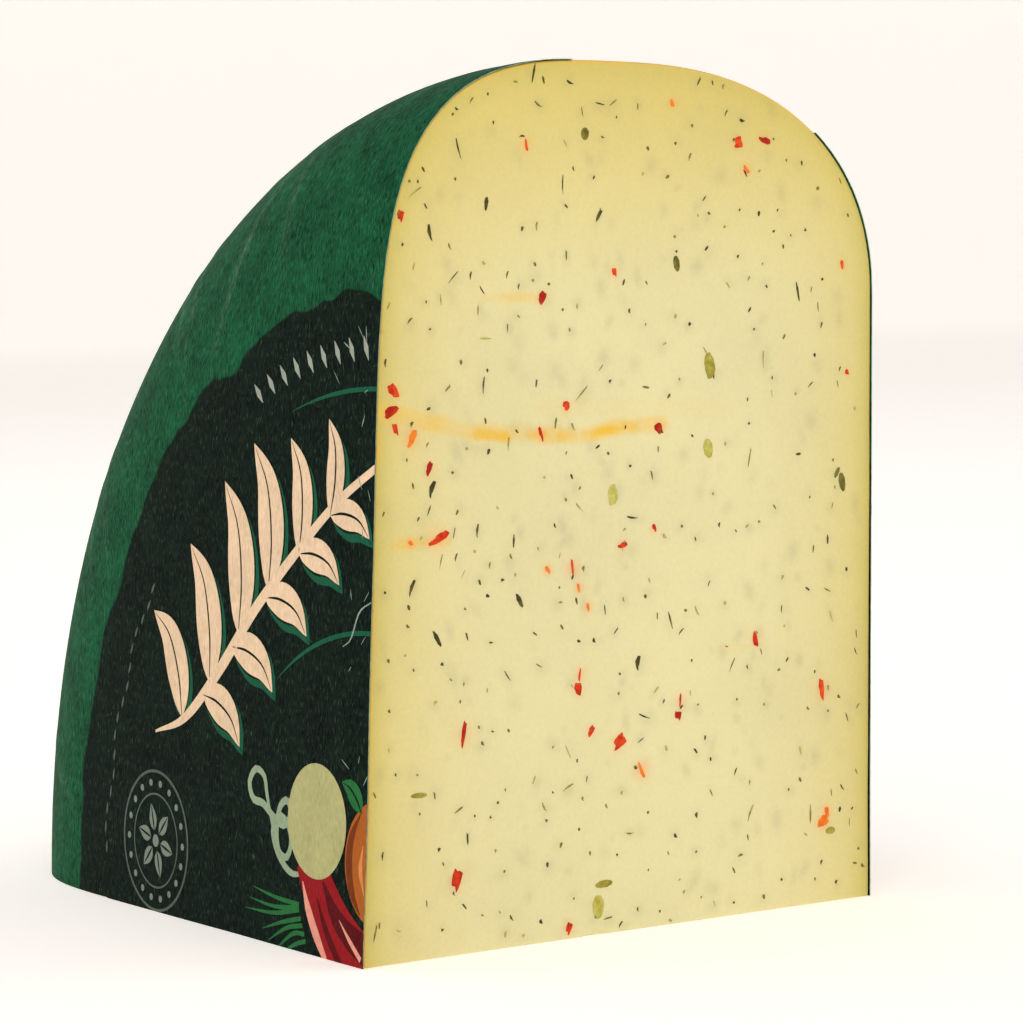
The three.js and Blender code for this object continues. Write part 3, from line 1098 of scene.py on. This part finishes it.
pepperKind = {
    "seed": 19, "segments": 7, "firstShard": 20, "blunt": 0.42,
    "shards": [(0.15, 0.13, 0.5), (0.45, 0.15, -0.4), (-0.4, 0.17, 0.45), (0.1, 0.2, 0.3)],
    "colors": [(166, 26, 6), (212, 54, 8), (232, 88, 14), (240, 130, 34)],
    "grain": 0.25, "roughness": 0.4,
    "below": 30, "belowAcross": (-44, 44), "belowAway": (4, 122), "belowInside": 3,
    "long": lambda draw: draw.uniform(1.4, 3.4), "wide": (0.7, 1.5),
}

seedKind = {
    "seed": 31, "segments": 9, "firstShard": 40, "blunt": 0.48,
    "shards": [(0.1, 0.035, 0.1), (-0.15, 0.06, -0.15)],
    "colors": [(206, 198, 112), (176, 166, 66), (140, 128, 44), (92, 88, 34)],
    "grain": 0.2, "roughness": 0.4,
    "below": 0,
}


# A bit of leaf, pepper or seed one unit long, wide and deep, bent and ragged
def makeShard(segments, bend, ragged, pinch, seed, blunt):
    selectNothing()
    bpy.ops.mesh.primitive_uv_sphere_add(segments=segments, ring_count=5,
                                         radius=0.5, rotation=(0, math.pi / 2, 0))
    bpy.ops.object.transform_apply(location=False, rotation=True, scale=False)
    shard = nameNew("shard")
    places = getPlaces(shard)
    draw = np.random.default_rng(seed)
    places[:, 1:] *= (1 + pinch * places[:, :1] * 2)
    places[:, 1] += bend * (0.25 - places[:, 0] ** 2) * 2
    places += draw.uniform(-ragged, ragged, places.shape) * [1, 1, 0.3]
    places[:, 0] = np.clip(places[:, 0], -blunt, blunt) / blunt / 2
    setPlaces(shard, places)
    return shard


# How far behind the flat cut the paste's surface is at these places on it
def cutSurface(across, height):
    return cheese["frontInset"] + frontWave(across, height) * (0.3 + 0.7 * smoothStep(0, 1 * mm, height))


# Lays a shard on a cut. Reach is its height on the upright cut, or its distance from it on the bottom one
def layFlake(shard, across, reach, long, wide, turn, tone, upright=True):
    copy = shard.copy()
    copy.data = shard.data.copy()
    bpy.context.scene.collection.objects.link(copy)
    own = getPlaces(copy)
    c, s = math.cos(math.radians(turn)), math.sin(math.radians(turn))
    a, b = own[:, 0] * long * mm, own[:, 1] * wide * mm
    x, out = across * mm + a * c - b * s, reach * mm + a * s + b * c
    if upright:
        z = np.maximum(out, cheese["bottomInset"] + 0.05 * mm)
        top = flakes["proud"] + (own[:, 2] - 0.5) * (flakes["proud"] + flakes["deep"])
        y = np.maximum(cutSurface(x, z) - top, 0.02 * mm)
    else:
        y, z = out, cheese["bottomInset"] - 0.02 * mm + (0.5 - own[:, 2]) * flakes["deep"]
    setPlaces(copy, np.column_stack([x, y, z]) + axisPoint)
    setValues(copy, "tone", np.full(len(x), tone))
    return copy


def insideBy(across, height):
    point = axisPoint + np.array([across, 0, height]) * mm
    return -rindDistance(point, wheel["rindOut"]) / mm


# Where the herbs are in the upright cut: across, height, length, width, turn and tone
def scatterHerbs():
    draw = random.Random(7)
    found = []
    for across, height in flakes["bigHerbs"]:
        found.append((across, height, draw.uniform(2.2, 3.2), draw.uniform(0.7, 1.1),
                      90 + draw.uniform(-30, 30), 0.1))
    for _ in range(12000):
        if len(found) >= flakes["herbCount"]:
            break
        across, height = draw.uniform(-46, 46), draw.uniform(0.6, 129)
        inside = insideBy(across, height)
        if inside < 0.7:
            continue
        apart = flakes["herbApart"] * (0.45 if inside < 3 else 1)
        if any(math.hypot(across - other[0], height - other[1]) < apart for other in found):
            continue
        long = min(3.2, 0.45 + draw.expovariate(1 / 0.52))
        wide = draw.uniform(0.24, 0.52) * (1.35 if long < 1.0 else 1)
        turn = 90 + draw.gauss(0, 26) if draw.random() < 0.75 else draw.uniform(0, 180)
        found.append((across, height, long, wide, turn, draw.random() ** 1.3))
    return found


# Colors that run from the first to the last with a flake's own tone
def makeFlakeMaterial(name, kind):
    material, tree, shader = newMaterial(name, {"Roughness": kind["roughness"], "Specular IOR Level": 0.15})
    place = addNode(tree, "TexCoord").outputs["Object"]
    grain = ramp(tree, noise(tree, place, 900.0), 0.25, 0.75, -kind["grain"], kind["grain"])
    tone = calc(tree, "ADD", readValue(tree, "tone"), grain)
    colors = kind["colors"]
    places = np.linspace(0, 1, len(colors))
    setInputs(tree, shader, {"Base Color": colorBands(tree, tone, zip(places, colors))})
    return material


# All the flakes of one kind as one piece: the placed ones, and random ones in the bottom cut
def makeFlakes(name, material, kind, placed):
    draw = random.Random(kind["seed"])
    shards = [makeShard(kind["segments"], *shape, kind["firstShard"] + number, kind["blunt"])
              for number, shape in enumerate(kind["shards"])]
    bits = [layFlake(draw.choice(shards), *flake) for flake in placed]
    for _ in range(kind["below"]):
        across = draw.uniform(*kind["belowAcross"])
        away = draw.uniform(*kind["belowAway"])
        if rindDistance(axisPoint + np.array([across, away, 0]) * mm) < -kind["belowInside"] * mm:
            shard, long, wide = draw.choice(shards), kind["long"](draw), draw.uniform(*kind["wide"])
            bits.append(layFlake(shard, across, away, long, wide,
                                 draw.uniform(0, 180), draw.random(), False))
    selectNothing()
    for bit in bits:
        bit.select_set(True)
    bpy.context.view_layer.objects.active = bits[0]
    bpy.ops.object.join()
    joined = nameNew(name)
    joined.data.materials.append(material)
    editWhole(joined, bpy.ops.mesh.normals_make_consistent, inside=False)
    smoothBelow(joined, 40)
    selectNothing()
    for shard in shards:
        shard.select_set(True)
    bpy.ops.object.delete()
    return joined


# Distance in mm from flat places to a line of points
def lineDistance(places, line):
    nearest = np.full(len(places), 1e9)
    line = np.array(line, float)
    for a, b in zip(line, line[1:]):
        share = np.clip((places - a) @ (b - a) / max((b - a) @ (b - a), 1e-9), 0, 1)
        nearest = np.minimum(nearest, np.linalg.norm(places - a - share[:, None] * (b - a), axis=1))
    return nearest


# What the paste's shader reads: depth from the rind, and stains round the flakes, the oil and the sheets
def stainCheese(body, herbPlaces):
    places = getPlaces(body)
    depth = -rindDistance(places, wheel["rindOut"]) / mm
    away = np.minimum(places[:, 1] - axisY - cheese["frontInset"],
                      places[:, 2] - axisZ - cheese["bottomInset"])
    rindShare = smoothStep(0.35 * mm, 0.6 * mm, away) * (1 - smoothStep(0.5, 1, depth))
    onCut = np.flatnonzero(places[:, 1] - axisY < 0.8 * mm)
    flat = (places[onCut][:, [0, 2]] - [axisX, axisZ]) / mm
    glow, oil, shadow = np.zeros(len(flat)), np.zeros(len(flat)), np.zeros(len(flat))
    for across, height, long, wide, turn, orange in flakes["pepper"]:
        near = np.exp(-(np.linalg.norm(flat - [across, height], axis=1) / (0.3 * long + 0.45)) ** 2)
        glow = np.maximum(glow, near * (0.22 + 0.2 * orange))
    patchy = 0.6 + 0.4 * softNoise(np.column_stack([flat, 0 * flat[:, 0]]), 6, 3)
    for strength, halfWide, line in flakes["oil"]:
        near = 1 - smoothStep(0.55, 1.25, lineDistance(flat, line) / halfWide / (0.75 + 0.45 * patchy))
        oil = np.maximum(oil, np.minimum(strength * (0.35 + patchy), 1) * near)
    draw = random.Random(77)
    hidden = [(draw.uniform(-45, 45), draw.uniform(2, 126),
               draw.uniform(1.0, 2.6), 0, 90 + draw.gauss(0, 20), 0)
              for _ in range(flakes["hiddenHerbs"])]
    for across, height, long, wide, turn, _ in herbPlaces + hidden:
        c, s = math.cos(math.radians(turn)), math.sin(math.radians(turn))
        x, y = (flat - [across + draw.uniform(-0.5, 0.5), height + draw.uniform(-0.5, 0.5)]).T
        longWay = (x * c + y * s) / (0.45 * long + 0.6)
        wideWay = (y * c - x * s) / draw.uniform(0.6, 1.3)
        depthShare = draw.uniform(0, 0.22) if wide else draw.uniform(0.05, 0.3) ** 1.2
        shadow = np.maximum(shadow, depthShare * np.exp(-longWay ** 2 - wideWay ** 2))
    onLeft = toWheel(places)[:, 0] < 0
    edge = np.exp(-(depth / 0.5) ** 2) * np.where(onLeft, 0.85, 0.35) * (1 - rindShare)
    setValues(body, "rindDepth", np.maximum(depth, 0))
    setValues(body, "rindShare", rindShare)
    setValues(body, "edgeStain", np.clip(edge, 0, 1))
    for name, values in (("pepperGlow", glow), ("oilStain", oil), ("herbShadow", shadow)):
        whole = np.zeros(len(places))
        whole[onCut] = values
        setValues(body, name, whole)


bpy.context.scene.view_settings.view_transform = "Standard"
print("1 camera, light and floor")
placeCamera()
placeLamps()
makeSky()
makeFloor()

print("2 materials")
fibres = makeFibreGroup()
spots = makeSpotGroup()
inkMaterials = {name: makeInk(name, fibres) for name in inks}
paperEdge = makePaperEdge()

print("3 cheese")
cheeseBody = makeCheese()
herbPlaces = scatterHerbs()
stainCheese(cheeseBody, herbPlaces)
cheeseBody.data.materials.append(makePasteMaterial(spots))

print("4 sheets and their print")
frontReach, backReach = [profiles[side][0][-1] - sheet[margin] for side, margin in (
    (True, "frontMargin"), (False, "backMargin"))]
frontSheet = makeSheet("frontSheet", True, frontReach, 2, [
    makeSheetMaterial("frontPaper", fibres, sheet["disc"], sheet["discReach"]), paperEdge])
printFront()
frontPrint = finishPrint("frontPrint", True)
backSheet = makeSheet("backSheet", False, backReach, 3, [
    makeSheetMaterial("backPaper", fibres, sheet["disc"], 70 * mm), paperEdge])
printBack()
backPrint = finishPrint("backPrint", False)

print("5 herbs, peppers and seeds")
herbFlakes = makeFlakes("herbFlakes", makeFlakeMaterial("driedHerb", herbKind), herbKind, herbPlaces)
pepperFlakes = makeFlakes(
    "pepperFlakes", makeFlakeMaterial("driedPepper", pepperKind), pepperKind, flakes["pepper"])
oliveSeeds = makeFlakes("oliveSeeds", makeFlakeMaterial("oliveSeed", seedKind), seedKind, flakes["seeds"])

pieces = {
    "cheese": ([cheeseBody], "cheese_wedge", "cheese"),
    "frontSheet": ([frontSheet, frontPrint], "front_label", "front_sheet"),
    "backSheet": ([backSheet, backPrint], "back_label", "back_sheet"),
    "herbs": ([herbFlakes, oliveSeeds], None, "herb"),
    "peppers": ([pepperFlakes], None, "pepper"),
}
for group, node, slot in pieces.values():
    for piece in group:
        if node:
            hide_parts(node)
        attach(piece, "root")

print("6 done")
